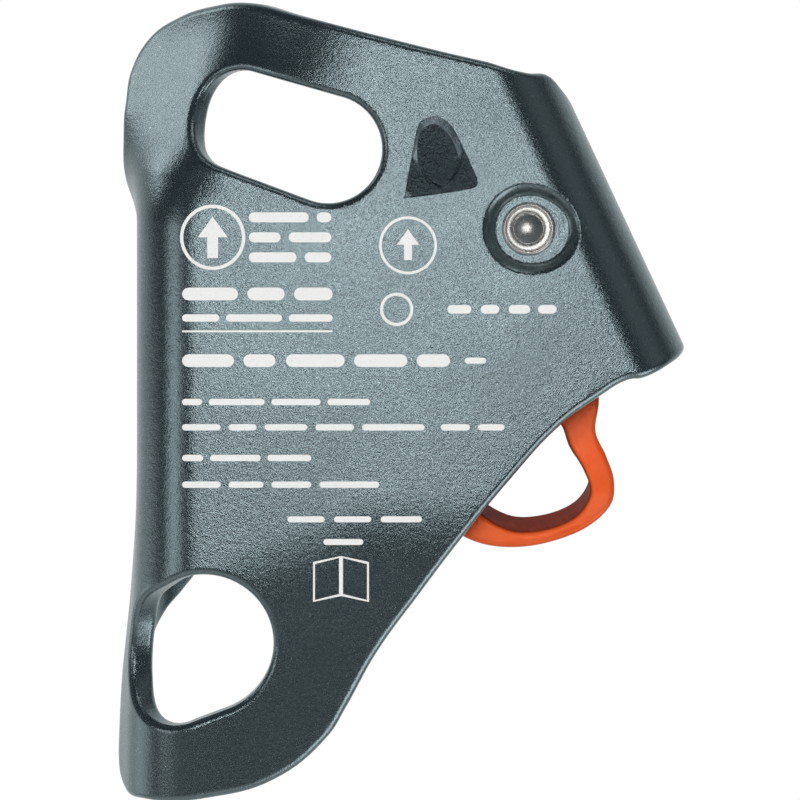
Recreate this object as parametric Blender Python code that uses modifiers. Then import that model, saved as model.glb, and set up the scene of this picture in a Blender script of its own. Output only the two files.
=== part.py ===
"""Chest ascender: a bent plate frame with a sprung, toothed cam and a finger-ring trigger.

The frame's flat back lies in the plane Y = 0 and its thickness goes towards +Y. X runs across
the frame, Z along the rope. Meshes are built in millimetres and scaled to metres at the end.
"""

import math

import bmesh
import bpy
import numpy as np
from mathutils import Matrix, Vector

MM = 0.001
GAP = 0.3  # clearance between neighbouring pieces

# Frame plate
THICKNESS = 3.8
RIM = 0.9  # rounding of the plate's rims
FOLD_RADIUS = 9.0  # outer radius of both U folds
FOLD_FLAT = 3.6  # flat stretch between the two bends of a U fold
DEPTH = 2 * FOLD_RADIUS + FOLD_FLAT
BEND_LENGTH = FOLD_RADIUS * math.pi / 2
SECTIONS = 6  # facets in each quarter bend

# Left fold, which is the rope channel: distances are to the left of LEFT_START
LEFT_START = 8.0
CHANNEL_START = 31.2
TOP_ANGLE = math.radians(45)
TOP_LENGTH = 38.0
OPEN_BLEND = (26.0, 44.0)  # where the channel opens out
EDGE_BEND = (24.0, 35.0)  # distances over which the opened edge tilts
TOP_BLEND = (34.0, 62.0)
LOW_SHARE = 0.81
LOW_BLEND = (-7.0, -60.0)

# Right fold, which is the clevis of the cam
TILT = math.radians(25)
ACROSS = (math.cos(TILT), math.sin(TILT))
ALONG = (math.sin(TILT), -math.cos(TILT))
CLEVIS_START = 40.1

# Lower end, which leans away from the back face
TIP_START = -14.0
TIP_LENGTH = 12.0
TIP_ANGLE = math.radians(9)
TIP_KNEE = 2.0
TIP_SLANT = 0.47
TIP_REACH = 30.0

# Eyes: centres and radii of the two ends
UPPER_SLOT = ((-3.3, 37.65), (-17.0, 42.1), (8.1, 7.5))
LOWER_EYE = ((-22.1, -36.8), (-27.2, -38.8), (10.6, 10.5))

# Stop behind the window: its face recedes downwards, and the floor round it comes forward
STOP_SLOPE = 0.12
MOAT_SLOPE = 0.11

# Cam and its axle
PIVOT = (26.8, 25.7)
RIVET_RADIUS = 2.9
RIVET_HEAD = 4.0
POCKET_DEPTH = 1.3
POCKET_FLOOR = 5.2
POCKET_MOUTH = 6.9
BUSH_RADII = (3.2, 4.2)
WASHER_RADII = (3.2, 6.0)
WASHER = 0.8
CAM_Y = (THICKNESS + WASHER + 2 * GAP, DEPTH - THICKNESS - WASHER - 2 * GAP)
CAM_FACE = (math.radians(14), math.radians(37))
SPIRAL = math.tan(math.radians(22))
SPIRAL_RADIUS = 53.7  # at 22 degrees below the pivot
SPRING_Y = 12.2
SPRING_CLEAR = 8.5
CAM_SPRING_RADIUS = 5.4
CAM_SPRING_WIRE = 0.4  # radius of the wire
CAM_SPRING_TURNS = 3.25

# Trigger
PIN = (28.0, 5.0)
PIN_RADIUS = 2.0
PIN_HEAD = 3.2
FORK = 2.2  # thickness of each cheek of the cam's fork
FORK_CLEAR = 7.2
TRIGGER_Y = (CAM_Y[0] + FORK + GAP, CAM_Y[1] - FORK - GAP)
TRIGGER_RIM = 0.5
TRIGGER_POCKET = (4.4, 2.3)  # radius and depth of the recess for the trigger's spring
TRIGGER_SPRING_RADIUS = 3.4
TRIGGER_SPRING_WIRE = 0.3
TRIGGER_SPRING_TURNS = 1.75


def clear_scene():
    for obj in list(bpy.data.objects):
        bpy.data.objects.remove(obj, do_unlink=True)


def new_collection(name):
    found = bpy.data.collections.new(name)
    bpy.context.scene.collection.children.link(found)
    return found


def material(name, color, metallic, roughness):
    made = bpy.data.materials.new(name)
    made.use_nodes = True
    shader = made.node_tree.nodes["Principled BSDF"]
    shader.inputs["Base Color"].default_value = (*color, 1.0)
    shader.inputs["Metallic"].default_value = metallic
    shader.inputs["Roughness"].default_value = roughness
    return made


# Outlines, in millimetres in the plane of X and Z


def fold_point(across, along):
    """The flat point that lies so far across the right fold, and so far down along it."""
    return (across * ACROSS[0] + along * ALONG[0], across * ACROSS[1] + along * ALONG[1])


def arc(center, radius, start, end, count):
    angles = np.linspace(math.radians(start), math.radians(end), count)
    return [(center[0] + radius * math.cos(a), center[1] + radius * math.sin(a)) for a in angles]


def stadium(first, second, radii, count):
    """A slot with round ends about two centres, the first on the right."""
    tilt = math.degrees(math.atan2(first[1] - second[1], first[0] - second[0]))
    right = arc(first, radii[0], tilt - 90, tilt + 90, count)
    return right + arc(second, radii[1], tilt + 90, tilt + 270, count)


FRAME_OUTLINE = [
    (-16.6, 59.8), (-7.6, 57.7), (5.4, 54.4), (20, 50.9),
    fold_point(45.5, -33.4), fold_point(49.8, -31.8), fold_point(52.6, -28.6),
    fold_point(57, -25.4), fold_point(66, -22.6), fold_point(77, -20),
    fold_point(83.5, -17), fold_point(86, -11),
    fold_point(86, 6), fold_point(83.6, 12.4), fold_point(78, 14.4), fold_point(70, 15),
    fold_point(62, 14.6), fold_point(55, 14.5), fold_point(48, 15.3), fold_point(41.3, 15.5),
    (41.6, 3.0), (37.5, 0.6), (31.65, -3.7), (24.2, -11.7), (16.7, -20.9),
    (10.6, -29.1), (4, -38.3), (-0.7, -46.8), (-3.3, -51), (-11.6, -57.7),
    (-21.6, -60.4), (-32.4, -61.1), (-39.3, -60.6), (-42.9, -57), (-43.4, -50.5),
    (-44.5, -44), (-46.2, -39), (-50.5, -33.6), (-55.5, -28), (-57.6, -20),
    (-57.6, 16), (-55.7, 23), (-49.5, 28.6), (-43.6, 32.2), (-41, 37.4),
    (-40, 44.5), (-39.7, 50), (-36.9, 54.9), (-31, 58), (-23.9, 59.5),
]
STOP_WINDOW = [
    (13.1, 42.5), (10.9, 41.9), (10, 40.1), (8.4, 31.35), (8.8, 30.4), (18.3, 31.8),
    (19, 33.2), (18.6, 34.3), (15.5, 40.65),
]
STOP_PLATEAU = [
    (12.5, 41.8), (14.8, 40.2), (16.5, 36.5), (15.3, 33), (13.6, 31.8), (11.4, 33.5),
    (9.95, 35.6), (10.2, 40.1),
]
CAM_BACK = [
    (-19.6, -12.2), (-16.5, -12.4), (-13.5, -9.5), (-6, -1), (6, 8.5), (16, 12.5), (21, 10.5),
    (22.8, 5.5), (24.2, 1.4), (28, -0.2), (31.8, 1.4), (33.2, 5), (33.9, 14), (34.4, 25.7),
    (32.2, 31.1), (26.8, 33.2), (19.5, 31.9), (13.6, 30.9), (2, 27.6), (-10, 22), (-19.4, 15.9),
]
TRIGGER_OUTLINE = [
    (37.5, 0.6), (37.1, -5.0), (39.4, -10.6), (39.4, -15.7), (34.65, -19.65), (27.2, -21.9),
    (19.95, -21.6), (14.6, -18.6), (12.4, -12.6), (14.2, -6.6), (19.4, -1.6), (22.6, 3.6),
    (24.2, 8.7), (28.2, 10.2), (32.2, 9.0), (35, 5.8),
]
TRIGGER_HOLE = [
    (31.5, -4.3), (33.2, -8.2), (35.6, -13.0), (34.0, -16.2), (28.9, -18.0), (23.2, -17.3),
    (18.6, -14.2), (17.2, -10.0), (19.2, -5.6), (24.6, -2.2), (29.2, -2.0),
]


def cam_outline():
    angles = np.linspace(*CAM_FACE, 8)
    face = []
    for angle in angles:
        radius = SPIRAL_RADIUS * math.exp(SPIRAL * (angle - math.radians(22)))
        face.append((PIVOT[0] - radius * math.cos(angle), PIVOT[1] - radius * math.sin(angle)))
    return face + CAM_BACK


# Meshes


def add_spline(curve, points, smooth):
    spline = curve.splines.new("BEZIER" if smooth else "POLY")
    if smooth:
        spline.bezier_points.add(len(points) - 1)
        for knot, (x, z) in zip(spline.bezier_points, points):
            knot.co = (x, z, 0)
            knot.handle_left_type = knot.handle_right_type = "AUTO"
    else:
        spline.points.add(len(points) - 1)
        for knot, (x, z) in zip(spline.points, points):
            knot.co = (x, z, 0, 1)
    spline.use_cyclic_u = True


def sheet_mesh(name, smooth_loops, sharp_loops, y_range, rim, steps):
    """A plate between two Y planes whose outline and holes are closed curves, with round rims."""
    curve = bpy.data.curves.new(name, "CURVE")
    curve.dimensions = "2D"
    curve.fill_mode = "BOTH"
    curve.resolution_u = steps
    curve.bevel_depth = rim
    curve.bevel_resolution = 0
    curve.offset = -rim
    curve.extrude = (y_range[1] - y_range[0]) / 2 - rim
    for points in smooth_loops:
        add_spline(curve, points, True)
    for points in sharp_loops:
        add_spline(curve, points, False)
    guide = bpy.data.objects.new(name, curve)
    bpy.context.scene.collection.objects.link(guide)
    bpy.context.view_layer.update()
    evaluated = guide.evaluated_get(bpy.context.evaluated_depsgraph_get())
    mesh = bpy.data.meshes.new_from_object(evaluated)
    bpy.data.objects.remove(guide)
    upright = Matrix.Rotation(math.pi / 2, 4, "X")
    mesh.transform(Matrix.Translation((0, sum(y_range) / 2, 0)) @ upright)
    weld(mesh)
    return mesh


def weld(mesh):
    bm = bmesh.new()
    bm.from_mesh(mesh)
    bmesh.ops.remove_doubles(bm, verts=bm.verts, dist=0.001)
    bmesh.ops.recalc_face_normals(bm, faces=bm.faces)
    bm.to_mesh(mesh)
    bm.free()


def place(name, mesh, look, collection, origin=(0, 0, 0)):
    """Scales a mesh in millimetres to metres, and puts its object's origin at the given point."""
    mesh.transform(Matrix.Scale(MM, 4) @ Matrix.Translation([-value for value in origin]))
    made = bpy.data.objects.new(name, mesh)
    made.location = [value * MM for value in origin]
    if look:
        mesh.materials.clear()
        mesh.materials.append(look)
        mesh.shade_smooth()
        mesh.set_sharp_from_angle(angle=math.radians(32))
    collection.objects.link(made)
    return made


def hide_cutter(obj):
    obj.hide_render = True
    obj.display_type = "WIRE"
    return obj


def cone_cutter(name, center, radii, y_range, cutters, sides=32):
    """A cone or cylinder along Y, with its first radius at the lower Y."""
    bm = bmesh.new()
    length = y_range[1] - y_range[0]
    bmesh.ops.create_cone(
        bm, cap_ends=True, segments=sides, radius1=radii[0], radius2=radii[1], depth=length,
        matrix=Matrix.Rotation(-math.pi / 2, 4, "X"),
    )
    mesh = bpy.data.meshes.new(name)
    bm.to_mesh(mesh)
    bm.free()
    origin = (center[0], sum(y_range) / 2, center[1])
    mesh.transform(Matrix.Translation(origin))
    return hide_cutter(place(name, mesh, None, cutters, origin))


def loft_mesh(name, lower, upper, y_range, slopes=(0, 0)):
    """A solid between two outlines with as many points, the first at the lower Y.

    Each end can slope: its Y is the given one at its top point and changes downwards from there.
    """
    bm = bmesh.new()
    rings = []
    for points, y, slope in zip((lower, upper), y_range, slopes):
        top = max(z for x, z in points)
        rings.append([bm.verts.new((x, y + slope * (top - z), z)) for x, z in points])
    bm.faces.new(rings[0])
    bm.faces.new(rings[1][::-1])
    count = len(lower)
    for i in range(count):
        j = (i + 1) % count
        bm.faces.new((rings[0][j], rings[0][i], rings[1][i], rings[1][j]))
    bmesh.ops.recalc_face_normals(bm, faces=bm.faces)
    mesh = bpy.data.meshes.new(name)
    bm.to_mesh(mesh)
    bm.free()
    return mesh


def scaled(points, factor):
    middle = np.mean(points, axis=0)
    return [tuple(middle + (np.array(point) - middle) * factor) for point in points]


def boolean(obj, other, operation="DIFFERENCE"):
    modifier = obj.modifiers.new(other.name, "BOOLEAN")
    modifier.operation = operation
    modifier.solver = "EXACT"
    modifier.object = other


def turned(name, profile, center, closed, look, collection, sides=40):
    """A piece turned about an axis along Y: (radius, Y) pairs, down the outer side from high Y."""
    mesh = bpy.data.meshes.new(name)
    edges = [(i, i + 1) for i in range(len(profile) - 1)]
    if closed:
        edges.append((len(profile) - 1, 0))
    mesh.from_pydata([(radius * MM, 0, y * MM) for radius, y in profile], edges, [])
    made = bpy.data.objects.new(name, mesh)
    made.location = (center[0] * MM, 0, center[1] * MM)
    made.rotation_euler = (-math.pi / 2, 0, 0)
    screw = made.modifiers.new("turn", "SCREW")
    screw.steps = screw.render_steps = sides
    screw.use_merge_vertices = True
    screw.merge_threshold = 0.00001
    mesh.materials.append(look)
    collection.objects.link(made)
    return made


def wire(name, points, radius, look, collection, origin):
    """A round wire along a list of points in millimetres."""
    curve = bpy.data.curves.new(name, "CURVE")
    curve.dimensions = "3D"
    curve.bevel_depth = radius * MM
    curve.bevel_resolution = 2
    curve.use_fill_caps = True
    spline = curve.splines.new("POLY")
    spline.points.add(len(points) - 1)
    for knot, point in zip(spline.points, points):
        knot.co = (*((Vector(point) - Vector(origin)) * MM), 1)
    curve.materials.append(look)
    made = bpy.data.objects.new(name, curve)
    made.location = Vector(origin) * MM
    collection.objects.link(made)
    return made


def coil(center, radius, y_range, turns, start, per_turn=16):
    """Points of a coil about an axis along Y, from a start angle in degrees."""
    points = []
    steps = round(turns * per_turn)
    for i in range(steps + 1):
        angle = math.radians(start) + 2 * math.pi * i / per_turn
        y = y_range[0] + (y_range[1] - y_range[0]) * i / steps
        x, z = center[0] + radius * math.cos(angle), center[1] + radius * math.sin(angle)
        points.append((x, y, z))
    return points


# Bending the plate


def smooth_step(value):
    value = np.clip(value, 0, 1)
    return value * value * (3 - 2 * value)


def blend(value, ends):
    return smooth_step((value - ends[0]) / (ends[1] - ends[0]))


def fold_angle(distance):
    """Angle of a U fold so far past its start: a quarter bend, a flat and a second quarter."""
    knots = np.cumsum([0, BEND_LENGTH, FOLD_FLAT, BEND_LENGTH])
    return np.interp(distance, knots, [0, math.pi / 2, math.pi / 2, math.pi])


def left_angle(distance, z):
    channel = fold_angle(distance - CHANNEL_START)
    opened = blend(z, OPEN_BLEND)
    lowered = blend(z, LOW_BLEND)
    edge = opened * blend(distance, EDGE_BEND)
    top = blend(z, TOP_BLEND) * blend(distance, (0, TOP_LENGTH))
    tilt = TOP_ANGLE * (1 - (1 - edge) * (1 - top))
    return channel * (1 - opened - lowered + LOW_SHARE * lowered) + tilt


def right_angle(distance, z):
    return fold_angle(distance)


def tip_angle(distance, z):
    return TIP_ANGLE * np.clip(distance / TIP_LENGTH, 0, 1)


def rolled(distance, z, depth, angle):
    """Run and rise of points on a sheet that bends by angle(distance, z), depth below its face."""
    parts = 96
    shares = (np.arange(parts) + 0.5) / parts
    stations = angle(distance[:, None] * shares, z[:, None])
    end = angle(distance, z)
    run = distance * np.cos(stations).mean(axis=1) - depth * np.sin(end)
    rise = distance * np.sin(stations).mean(axis=1) + depth * np.cos(end)
    return run, rise


def bend_plate(mesh):
    points = np.empty(len(mesh.vertices) * 3)
    mesh.vertices.foreach_get("co", points)
    points = points.reshape(-1, 3)
    x, y, z = points.T.copy()
    left = x < LEFT_START
    run, rise = rolled(LEFT_START - x[left], z[left], y[left], left_angle)
    points[left, 0] = LEFT_START - run
    points[left, 1] = rise
    across = x * ACROSS[0] + z * ACROSS[1]
    right = (across > CLEVIS_START) & ~left
    run, rise = rolled(across[right] - CLEVIS_START, z[right], y[right], right_angle)
    moved = CLEVIS_START + run - across[right]
    points[right, 0] += moved * ACROSS[0]
    points[right, 2] += moved * ACROSS[1]
    points[right, 1] = rise
    start = TIP_START - TIP_SLANT * np.clip(TIP_KNEE - points[:, 0], 0, None)
    low = z < start
    run, rise = rolled(start[low] - z[low], z[low], points[low, 1], tip_angle)
    points[low, 1] = rise
    points[low, 2] = start[low] - run
    mesh.vertices.foreach_set("co", points.ravel())
    mesh.update()


def slice_plate(mesh):
    """Cuts the flat plate's faces along the lines where it bends, then into triangles."""
    bends = [i * BEND_LENGTH / SECTIONS for i in range(SECTIONS + 1)]
    fold = bends + [BEND_LENGTH + FOLD_FLAT + value for value in bends]
    gentle = list(np.linspace(0, EDGE_BEND[0], 6)[:-1])
    edge = list(np.linspace(EDGE_BEND[0], CHANNEL_START, 4)[:-1])
    stations = gentle + edge + [CHANNEL_START + value for value in fold]
    bm = bmesh.new()
    bm.from_mesh(mesh)
    for value in stations:
        cut(bm, (LEFT_START - value, 0, 0), (1, 0, 0), None)
    for value in fold:
        point = [(CLEVIS_START + value) * part for part in ACROSS]
        cut(bm, (point[0], 0, point[1]), (ACROSS[0], 0, ACROSS[1]), None)
    heights = [*np.linspace(*LOW_BLEND, 6), *np.linspace(OPEN_BLEND[0], TOP_BLEND[1], 10)]
    for value in heights:
        cut(bm, (0, 0, value), (0, 0, 1), LEFT_START + 0.01)
    for value in np.linspace(0, TIP_REACH, 9):
        cut(bm, (0, 0, TIP_START - value), (0, 0, 1), None)
    bmesh.ops.triangulate(bm, faces=bm.faces)
    bm.to_mesh(mesh)
    bm.free()


def cut(bm, point, normal, right_limit):
    """Splits the faces along a plane, or only those left of right_limit."""
    faces = bm.faces
    if right_limit is not None:
        faces = [f for f in faces if max(v.co.x for v in f.verts) < right_limit]
    geometry = set(faces)
    for face in faces:
        geometry.update(face.edges)
        geometry.update(face.verts)
    bmesh.ops.bisect_plane(bm, geom=list(geometry), dist=0.001, plane_co=point, plane_no=normal)


# The pieces


def make_frame(look, parts, cutters):
    holes = [stadium(*UPPER_SLOT, 13), stadium(*LOWER_EYE, 15)]
    mesh = sheet_mesh("frame", [FRAME_OUTLINE], holes, (0, THICKNESS), RIM, 4)
    slice_plate(mesh)
    bend_plate(mesh)
    frame = place("frame", mesh, look, parts)
    slope = (POCKET_MOUTH - POCKET_FLOOR) / POCKET_DEPTH
    mouth = POCKET_MOUTH + slope
    cone = ((mouth, POCKET_FLOOR), (-1, POCKET_DEPTH))
    boolean(frame, cone_cutter("rivet_pocket", PIVOT, *cone, cutters, 48))
    hole = RIVET_RADIUS + GAP
    boolean(frame, cone_cutter("rivet_hole", PIVOT, (hole, hole), (-2, DEPTH + 2), cutters, 40))
    moat = loft_mesh("stop_moat", STOP_WINDOW, STOP_WINDOW, (-1, 3.1), (0, -MOAT_SLOPE))
    moat = hide_cutter(place("stop_moat", moat, None, cutters))
    face = scaled(STOP_PLATEAU, 0.93)
    plateau = loft_mesh("stop_plateau", face, STOP_PLATEAU, (0.5, 3.4), (STOP_SLOPE, 0))
    boolean(moat, hide_cutter(place("stop_plateau", plateau, None, cutters)))
    boolean(frame, moat)
    boss = loft_mesh("stop_boss", STOP_PLATEAU, scaled(STOP_PLATEAU, 0.8), (3.4, 6.6))
    boolean(frame, hide_cutter(place("stop_boss", boss, None, cutters)), "UNION")
    return frame


def make_cam(look, parts, cutters):
    origin = (PIVOT[0], 0, PIVOT[1])
    hub_hole = arc(PIVOT, BUSH_RADII[1] + GAP, 0, 345, 24)
    pin_hole = arc(PIN, PIN_RADIUS + GAP, 0, 337.5, 16)
    mesh = sheet_mesh("cam", [cam_outline()], [hub_hole, pin_hole], CAM_Y, 0.6, 4)
    cam = place("cam", mesh, look, parts, origin)
    clear = (SPRING_CLEAR, SPRING_CLEAR)
    boolean(cam, cone_cutter("spring_clear", PIVOT, clear, (SPRING_Y, CAM_Y[1] + 1), cutters, 40))
    fork = (CAM_Y[0] + FORK, CAM_Y[1] - FORK)
    clear = (FORK_CLEAR, FORK_CLEAR)
    boolean(cam, cone_cutter("fork_clear", PIN, clear, fork, cutters, 40))
    return cam


def make_axle(steel, parts):
    front = DEPTH + GAP
    shank_start = POCKET_DEPTH - GAP
    rivet = [
        (0, front + 1.2), (2.5, front + 1.1), (3.8, front + 0.7), (4.4, front),
        (RIVET_RADIUS, front), (RIVET_RADIUS, shank_start), (RIVET_HEAD, shank_start),
        (RIVET_HEAD, 0.5), (3.9, 0.2), (3.65, 0.05), (3.4, 0.15), (3.3, 0.45), (2.5, 0.45),
        (2.4, 0.8), (0, 0.8),
    ]
    turned("cam_rivet", rivet, PIVOT, False, steel, parts)
    washers = {"back_washer": THICKNESS + GAP, "front_washer": CAM_Y[1] + GAP}
    for name, start in washers.items():
        ring(name, WASHER_RADII, (start, start + WASHER), PIVOT, steel, parts)


def ring(name, radii, y_range, center, look, parts):
    inner, outer = radii
    low, high = y_range
    profile = [(inner, high), (outer, high), (outer, low), (inner, low)]
    turned(name, profile, center, True, look, parts)


def make_cam_spring(look, parts):
    """A coil round the bush, with one leg hooked in the cam and the other against the fold."""
    y_range = (SPRING_Y + GAP + CAM_SPRING_WIRE, CAM_Y[1] - CAM_SPRING_WIRE)
    start = 205
    points = coil(PIVOT, CAM_SPRING_RADIUS, y_range, CAM_SPRING_TURNS, start)
    first, last = Vector(points[0]), Vector(points[-1])
    outward = Vector((math.cos(math.radians(start)), 0, math.sin(math.radians(start))))
    reach = Vector((ACROSS[0], 0, ACROSS[1])) * 8.2
    points = [tuple(first + outward * 2.2)] + points + [tuple(last + reach)]
    wire("cam_spring", points, CAM_SPRING_WIRE, look, parts, (PIVOT[0], 0, PIVOT[1]))


def make_trigger(look, parts, cutters):
    origin = (PIN[0], 0, PIN[1])
    hole = arc(PIN, PIN_RADIUS + GAP, 0, 337.5, 16)
    loops = [TRIGGER_OUTLINE, TRIGGER_HOLE]
    mesh = sheet_mesh("trigger", loops, [hole], TRIGGER_Y, TRIGGER_RIM, 5)
    trigger = place("trigger", mesh, look, parts, origin)
    radius, depth = TRIGGER_POCKET
    pocket = (TRIGGER_Y[1] - depth, TRIGGER_Y[1] + 1)
    boolean(trigger, cone_cutter("trigger_pocket", PIN, (radius, radius), pocket, cutters))
    return trigger


def make_trigger_pin(steel, spring_steel, parts):
    low, high = CAM_Y[0] - GAP, CAM_Y[1] + GAP
    profile = [
        (0, high + 0.5), (PIN_HEAD - 0.4, high + 0.5), (PIN_HEAD, high), (PIN_RADIUS, high),
        (PIN_RADIUS, low), (PIN_HEAD, low), (PIN_HEAD - 0.4, low - 0.5), (0, low - 0.5),
    ]
    turned("trigger_pin", profile, PIN, False, steel, parts, 24)
    floor = TRIGGER_Y[1] - TRIGGER_POCKET[1]
    y_range = (floor + GAP + TRIGGER_SPRING_WIRE, TRIGGER_Y[1] - TRIGGER_SPRING_WIRE)
    points = coil(PIN, TRIGGER_SPRING_RADIUS, y_range, TRIGGER_SPRING_TURNS, 200)
    wire("trigger_spring", points, TRIGGER_SPRING_WIRE, spring_steel, parts, (PIN[0], 0, PIN[1]))


def main():
    clear_scene()
    parts = new_collection("ascender")
    cutters = new_collection("cutters")
    aluminium = material("anodised_teal", (0.30, 0.38, 0.40), 0.85, 0.42)
    orange = material("anodised_orange", (0.85, 0.20, 0.06), 0.6, 0.35)
    chrome = material("chromed_steel", (0.62, 0.63, 0.65), 1.0, 0.22)
    steel = material("rivet_steel", (0.70, 0.70, 0.72), 1.0, 0.28)
    spring_steel = material("spring_steel", (0.45, 0.46, 0.48), 1.0, 0.30)
    make_frame(aluminium, parts, cutters)
    make_cam(chrome, parts, cutters)
    make_axle(steel, parts)
    bush = material("bronze", (0.55, 0.38, 0.18), 1.0, 0.35)
    ring("cam_bush", BUSH_RADII, CAM_Y, PIVOT, bush, parts)
    make_cam_spring(spring_steel, parts)
    make_trigger(orange, parts, cutters)
    make_trigger_pin(steel, spring_steel, parts)


main()
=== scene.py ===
"""Looks of the chest ascender: fine surfaces, materials, printed marks, light and camera."""

import math

import bmesh
import bpy
import numpy as np
from mathutils import Matrix, Vector


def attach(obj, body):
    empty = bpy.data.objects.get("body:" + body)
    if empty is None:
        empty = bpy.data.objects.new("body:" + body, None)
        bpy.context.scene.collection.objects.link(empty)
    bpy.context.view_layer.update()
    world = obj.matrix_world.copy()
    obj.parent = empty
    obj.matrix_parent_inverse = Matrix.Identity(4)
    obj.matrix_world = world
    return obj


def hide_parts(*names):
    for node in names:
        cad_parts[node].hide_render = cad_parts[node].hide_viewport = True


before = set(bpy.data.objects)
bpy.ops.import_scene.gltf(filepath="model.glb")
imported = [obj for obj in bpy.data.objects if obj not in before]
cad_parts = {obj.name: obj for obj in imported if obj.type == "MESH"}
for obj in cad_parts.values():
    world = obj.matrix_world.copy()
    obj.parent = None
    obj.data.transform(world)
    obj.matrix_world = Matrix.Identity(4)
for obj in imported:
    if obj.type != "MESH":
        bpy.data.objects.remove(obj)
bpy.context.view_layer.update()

MM = 0.001

# The plate, in millimetres, as in the CAD
THICKNESS = 3.8
RIM = 1.05
RIM_STEPS = 4
FOLD_RADIUS = 9.0
FOLD_FLAT = 3.6
BEND_PARTS = 96
BEND_LENGTH = FOLD_RADIUS * math.pi / 2
LEFT_START = 8.0
CHANNEL_START = 31.2
TOP_ANGLE = math.radians(45)
TOP_LENGTH = 38.0
OPEN_BLEND = (26.0, 44.0)
EDGE_BEND = (24.0, 35.0)
TOP_BLEND = (34.0, 62.0)
LOW_SHARE = 0.81
LOW_BLEND = (-7.0, -60.0)
TILT = math.radians(25)
ACROSS = (math.cos(TILT), math.sin(TILT))
ALONG = (math.sin(TILT), -math.cos(TILT))
CLEVIS_START = 40.1
TIP_START = -14.0
TIP_LENGTH = 12.0
TIP_ANGLE = math.radians(9)
TIP_KNEE = 2.0
TIP_SLANT = 0.47
TIP_REACH = 30.0
UPPER_SLOT = ((-3.3, 37.65), (-17.0, 42.1), (8.1, 7.5))
LOWER_EYE = ((-22.1, -36.8), (-27.2, -38.8), (10.6, 10.5))

# Spacing of the lines that divide the plate's faces
BEND_STEP = 0.9
GENTLE_STEP = 2.0
BLEND_STEP = 1.6
TIP_STEP = 1.5

# Stop behind the window: a chamfered plateau that slopes back, in a moat, with a boss on the cam side
STOP_MIDDLE = (13.8, 36.4)
STOP_REACH = 7.5
STOP_SLOPE = 0.12
STOP_TOP = 0.5
STOP_BROW = 0.85
STOP_FOOT = 3.4
BROW_SHARES = (0.93, 0.99)
FOOT_SHARE = 1.3
MOAT_SLOPE = 0.11
MOAT_DEPTH = 3.1
MOAT_SHARES = (1.03, 0.99)
BOSS_SHARE = 0.8
BOSS_END = 6.6

# Axle, and the pocket round its rivet
PIVOT = (26.8, 25.7)
GAP = 0.3
DEPTH = 2 * FOLD_RADIUS + FOLD_FLAT
RIVET_RADIUS = 2.9
RIVET_HEAD = 4.0
BUSH_RADII = (3.2, 4.2)
WASHER_RADII = (3.2, 6.0)
WASHER = 0.8
POCKET_DEPTH = 1.3
POCKET_REACH = 6.9
POCKET_BULGE = 1.0
POCKET_TURN = math.radians(-12)
POCKET_WALL = 1.9
POCKET_GRID = 0.3
POCKET_MARGIN = 0.9
BACK_LAYER = 0.6

# Cam
CAM_Y = (THICKNESS + WASHER + 2 * GAP, DEPTH - THICKNESS - WASHER - 2 * GAP)
CAM_FACE = (math.radians(14), math.radians(37))
CAM_RIM = 0.8
CAM_RELIEF_DEPTH = 1.4
CAM_RELIEF_SHARES = (1.05, 0.93)
SPIRAL_ANGLE = math.radians(22)
SPIRAL = math.tan(SPIRAL_ANGLE)
SPIRAL_RADIUS = 53.7
SPRING_Y = 12.2
SPRING_CLEAR = 8.5
CAM_SPRING_RADIUS = 5.4
CAM_SPRING_WIRE = 0.4
CAM_SPRING_TURNS = 3.25
CAM_SPRING_START = 205
CAM_SPRING_HOOK = 2.2
CAM_SPRING_LEG = 5.7
TOOTH_ROWS = 10
TOOTH_SPACING = 3.6
TOOTH_RADII = (0.95, 0.12)
TOOTH_HEIGHT = 1.5
TOOTH_SINK = 0.25
TOOTH_LEAN = 0.45
TOOTH_MARGINS = (0.035, 0.04)

# Trigger
PIN = (28.0, 5.0)
PIN_RADIUS = 2.0
PIN_HEAD = 3.2
FORK = 2.2
FORK_CLEAR = 7.2
TRIGGER_Y = (CAM_Y[0] + FORK + GAP, CAM_Y[1] - FORK - GAP)
TRIGGER_RIM = 0.8
TRIGGER_RIM_SHARES = (0.42, 0.3)
TRIGGER_SECTIONS = 144
TRIGGER_DRAFT = 2.2
DRAFT_BLEND = (-8.0, -14.0)
TRIGGER_DIP = 1.0
DIP_BLEND = (-16.0, -7.0)
TRIGGER_POCKET = (4.4, 2.3)
TRIGGER_SPRING_RADIUS = 3.4
TRIGGER_SPRING_WIRE = 0.3
TRIGGER_SPRING_TURNS = 1.75
TRIGGER_SPRING_START = 200


# Outlines, in millimetres in the plane of X and Z


def fold_point(across, along):
    """The flat point that lies so far across the right fold, and so far down along it."""
    return (across * ACROSS[0] + along * ALONG[0], across * ACROSS[1] + along * ALONG[1])


def arc(center, radius, start, end, count):
    angles = np.linspace(math.radians(start), math.radians(end), count)
    return [(center[0] + radius * math.cos(a), center[1] + radius * math.sin(a)) for a in angles]


def stadium(first, second, radii, count):
    """A slot with round ends about two centres, the first on the right."""
    tilt = math.degrees(math.atan2(first[1] - second[1], first[0] - second[0]))
    right = arc(first, radii[0], tilt - 90, tilt + 90, count)
    return right + arc(second, radii[1], tilt + 90, tilt + 270, count)


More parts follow.
